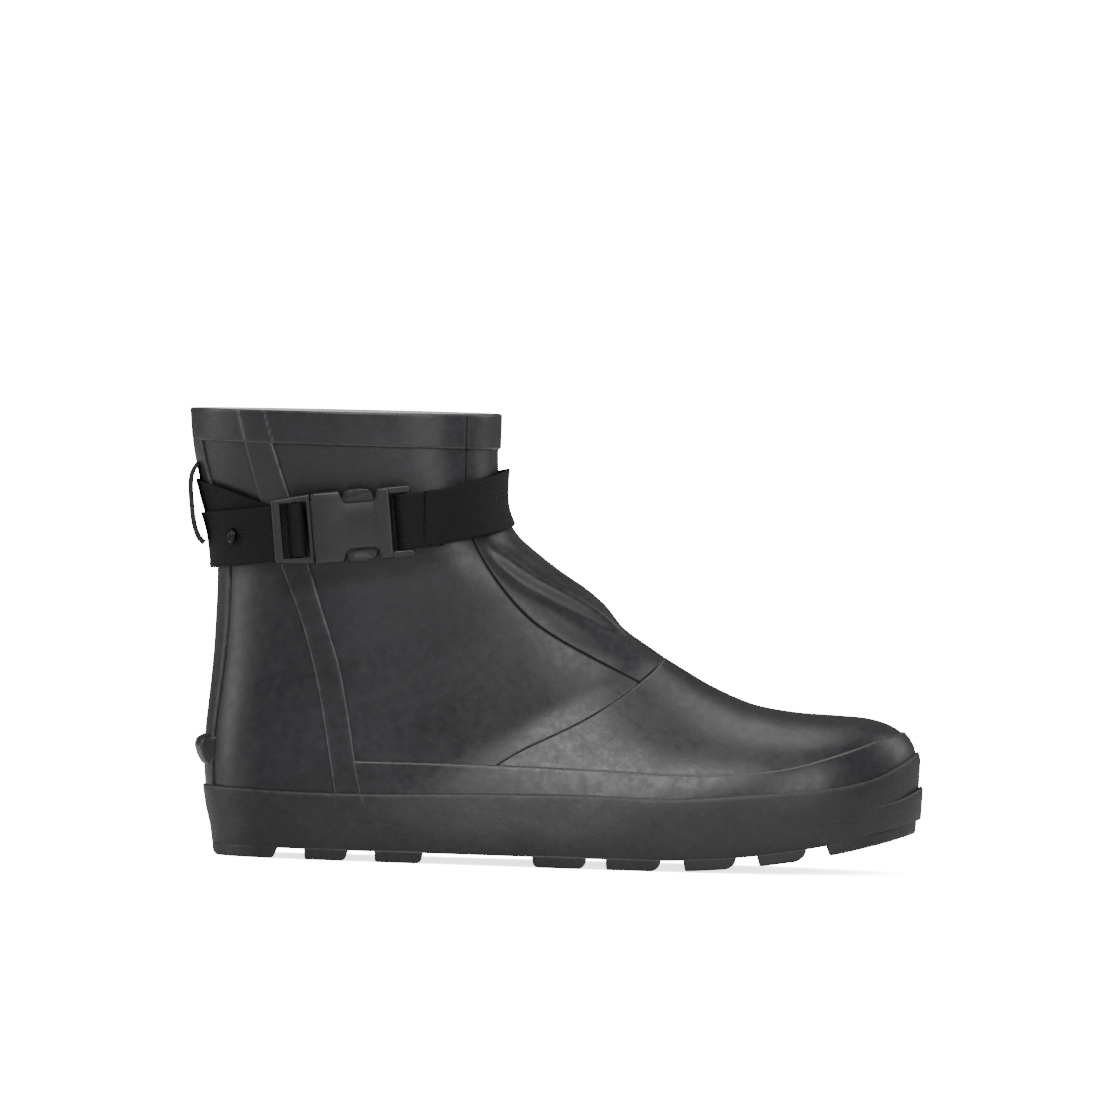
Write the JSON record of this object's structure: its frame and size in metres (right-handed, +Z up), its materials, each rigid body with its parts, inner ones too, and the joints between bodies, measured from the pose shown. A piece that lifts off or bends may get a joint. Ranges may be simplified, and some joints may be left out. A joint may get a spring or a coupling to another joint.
{
  "type": "rubber rain boot",
  "caption": "Short rubber rain boot for the right foot, with a collar band, side strips, a lugged sole and an ankle strap with a side-release buckle.",
  "frame": {"origin": "floor level, below the middle of the boot's box", "axes": "+X from heel to toe, +Y to the inner side of the foot, +Z up; the strap's buckle is on the -Y side"},
  "size_m": [0.3204, 0.1112, 0.1927],
  "materials": {
    "upper_rubber": "dark charcoal natural rubber, smooth satin lacquer with a pale bloom at the seams",
    "band_rubber": "dark charcoal rubber bands and strips, satin",
    "sole_rubber": "dark charcoal outsole rubber, slightly duller than the upper",
    "lining_textile": "light grey knitted lining",
    "footbed_foam": "dark grey moulded foam",
    "filler_foam": "sponge rubber, hidden",
    "board": "fibre board, hidden",
    "stiffener": "stiffened canvas, hidden",
    "shank_steel": "plain steel strip, hidden",
    "webbing": "black woven webbing",
    "buckle_plastic": "black moulded acetal, fine satin",
    "rivet_metal": "dark lacquered steel rivet"
  },
  "bodies": {
    "boot": {"outsole": "sole_rubber", "midsole_filler": "filler_foam", "shank": "shank_steel", "insole_board": "board", "footbed": "footbed_foam", "footbed_cover": "lining_textile", "lining": "lining_textile", "toe_puff": "stiffener", "heel_counter": "stiffener", "vamp": "upper_rubber", "quarter_outer": "upper_rubber", "quarter_inner": "upper_rubber", "front_gusset": "upper_rubber", "heel_quarter": "upper_rubber", "side_stay_outer": "band_rubber", "side_stay_inner": "band_rubber", "back_stay": "band_rubber", "collar_band": "band_rubber", "rand": "band_rubber", "foxing": "band_rubber", "toe_lip": "band_rubber", "kick_off_spur": "band_rubber", "front_strap": "webbing", "back_strap": "webbing", "pull_loop": "webbing", "strap_rivets": "rivet_metal", "buckle_female": "buckle_plastic"},
    "male_half": {"buckle_male": "buckle_plastic", "web_turn": "webbing"},
    "upper_prong": {"prong_upper": "buckle_plastic"},
    "lower_prong": {"prong_lower": "buckle_plastic"}
  },
  "joints": [
    {"name": "buckle_release", "type": "slide", "parent": "boot", "child": "male_half", "axis": [-0.9905, 0.0785, -0.1129], "range_m": [0, 0.028], "deforming": ["prong_upper", "prong_lower"]},
    {"name": "upper_prong_press", "type": "hinge", "parent": "male_half", "child": "upper_prong", "pos_m": [-0.10391, -0.04881, 0.14996], "axis": [0.078, 0.9969, 0.0089], "range_deg": [0, 11], "stiffness_Nm_per_rad": 0.3},
    {"name": "lower_prong_press", "type": "hinge", "parent": "male_half", "child": "lower_prong", "pos_m": [-0.10212, -0.04881, 0.13426], "axis": [-0.078, -0.9969, -0.0089], "range_deg": [0, 11], "stiffness_Nm_per_rad": 0.3}
  ]
}
